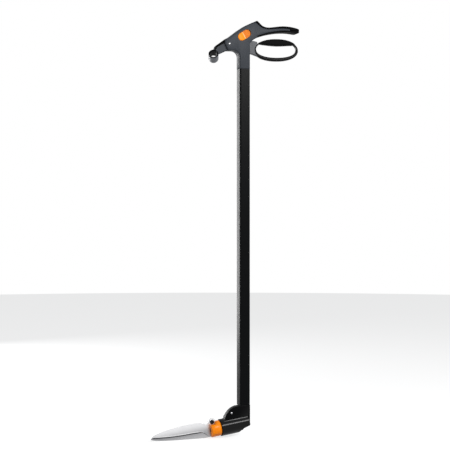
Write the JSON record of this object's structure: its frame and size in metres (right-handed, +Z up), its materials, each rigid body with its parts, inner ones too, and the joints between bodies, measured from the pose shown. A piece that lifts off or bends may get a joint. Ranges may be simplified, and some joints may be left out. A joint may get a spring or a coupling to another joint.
{
  "type": "long-handled grass shears",
  "caption": "Upright grass shears: a pistol grip with a finger loop works swivelling shear blades at the foot of a square tube through a rod inside it.",
  "frame": {"origin": "centre of the hanging eye's bore, on the tool's middle plane", "axes": "+Z up along the tube, -X towards the blades' tips, +Y away from the side with the lock slider"},
  "size_m": [0.3902, 0.0426, 1.0435],
  "materials": {
    "housing_grey": "fine moulded grain, dark blue-grey",
    "soft_grip": "soft-touch black",
    "black_plastic": "satin black",
    "lever_grey": "satin grey",
    "orange_plastic": "satin orange",
    "tube_black": "black anodised",
    "bright_steel": "bright turned",
    "blade_steel": "ground along the blade",
    "dark_steel": "blackened",
    "nylon": "natural nylon"
  },
  "bodies": {
    "tube_and_housings": {"tube": "tube_black", "tube_screw_lower": "dark_steel", "tube_screw_upper": "dark_steel", "handle_shell_near": "housing_grey", "handle_shell_far": "housing_grey", "handle_screw_1": "dark_steel", "handle_screw_2": "dark_steel", "handle_screw_3": "dark_steel", "handle_screw_4": "dark_steel", "grip_pad_top": "soft_grip", "grip_pad_lower": "soft_grip", "hanging_eye": "housing_grey", "trigger_pivot_pin": "bright_steel", "trigger_washer_near": "nylon", "trigger_washer_far": "nylon", "lock_spring": "bright_steel", "rod_guide_1": "nylon", "rod_guide_2": "nylon", "rod_guide_3": "nylon", "return_spring": "bright_steel", "foot_shell_near": "black_plastic", "foot_shell_far": "black_plastic", "foot_screw_1": "dark_steel", "foot_screw_2": "dark_steel", "foot_screw_3": "dark_steel", "crank_pin": "bright_steel", "crank_washer_near": "nylon", "crank_washer_far": "nylon", "swivel_bush_rear": "nylon", "swivel_bush_front": "nylon", "detent_ball": "bright_steel", "detent_spring": "bright_steel"},
    "trigger": {"trigger_lever": "lever_grey", "finger_pad": "soft_grip"},
    "lock": {"lock_slider": "orange_plastic", "lock_tongue": "bright_steel"},
    "rod": {"push_rod": "bright_steel", "rod_fork": "bright_steel", "rod_pin_upper": "bright_steel", "rod_eye": "bright_steel", "rod_pin_lower": "bright_steel", "spring_collar": "dark_steel"},
    "crank": {"bell_crank": "dark_steel"},
    "head": {"swivel_spindle": "black_plastic", "retaining_ring": "bright_steel", "swivel_collar": "orange_plastic", "collar_pin": "bright_steel", "blade_rivet_1": "bright_steel", "blade_rivet_2": "bright_steel", "fixed_blade": "blade_steel", "pivot_bolt": "dark_steel", "pivot_washer_near": "bright_steel", "pivot_washer_far": "bright_steel", "pivot_nut": "dark_steel"},
    "drive": {"drive_rod": "bright_steel", "drive_pin": "bright_steel"},
    "blade": {"moving_blade": "blade_steel"}
  },
  "joints": [
    {"name": "trigger_squeeze", "type": "hinge", "parent": "tube_and_housings", "child": "trigger", "pos_m": [0.0374, 0, 0.0315], "axis": [0, 1, 0], "range_deg": [0, 14]},
    {"name": "lock_slide", "type": "slide", "parent": "tube_and_housings", "child": "lock", "axis": [0.847, 0, 0.5315], "range_m": [0, 0.01]},
    {"name": "rod_travel", "type": "slide", "parent": "tube_and_housings", "child": "rod", "axis": [0, 0, -1], "range_m": [0, 0.01029], "deforming": ["return_spring"]},
    {"name": "crank_turn", "type": "hinge", "parent": "tube_and_housings", "child": "crank", "pos_m": [0.043, 0, -0.88895], "axis": [0, 1, 0], "range_deg": [0, 16.15]},
    {"name": "head_swivel", "type": "hinge", "parent": "tube_and_housings", "child": "head", "pos_m": [0.0795, 0, -0.91715], "axis": [-0.9903, 0, -0.1392], "range_deg": [0, 90]},
    {"name": "drive_travel", "type": "slide", "parent": "head", "child": "drive", "axis": [-0.9903, 0, -0.1392], "range_m": [0, 0.0093]},
    {"name": "blade_swing", "type": "hinge", "parent": "head", "child": "blade", "pos_m": [-0.00545, 0, -0.9097], "axis": [0, 1, 0], "range_deg": [0, 28]}
  ],
  "couplings": [
    {"joint": "rod_travel", "follows": "trigger_squeeze", "m_per_rad": 0.0421},
    {"joint": "crank_turn", "follows": "trigger_squeeze", "ratio": 1.1534},
    {"joint": "drive_travel", "follows": "trigger_squeeze", "m_per_rad": 0.03807},
    {"joint": "blade_swing", "follows": "trigger_squeeze", "ratio": 2}
  ]
}
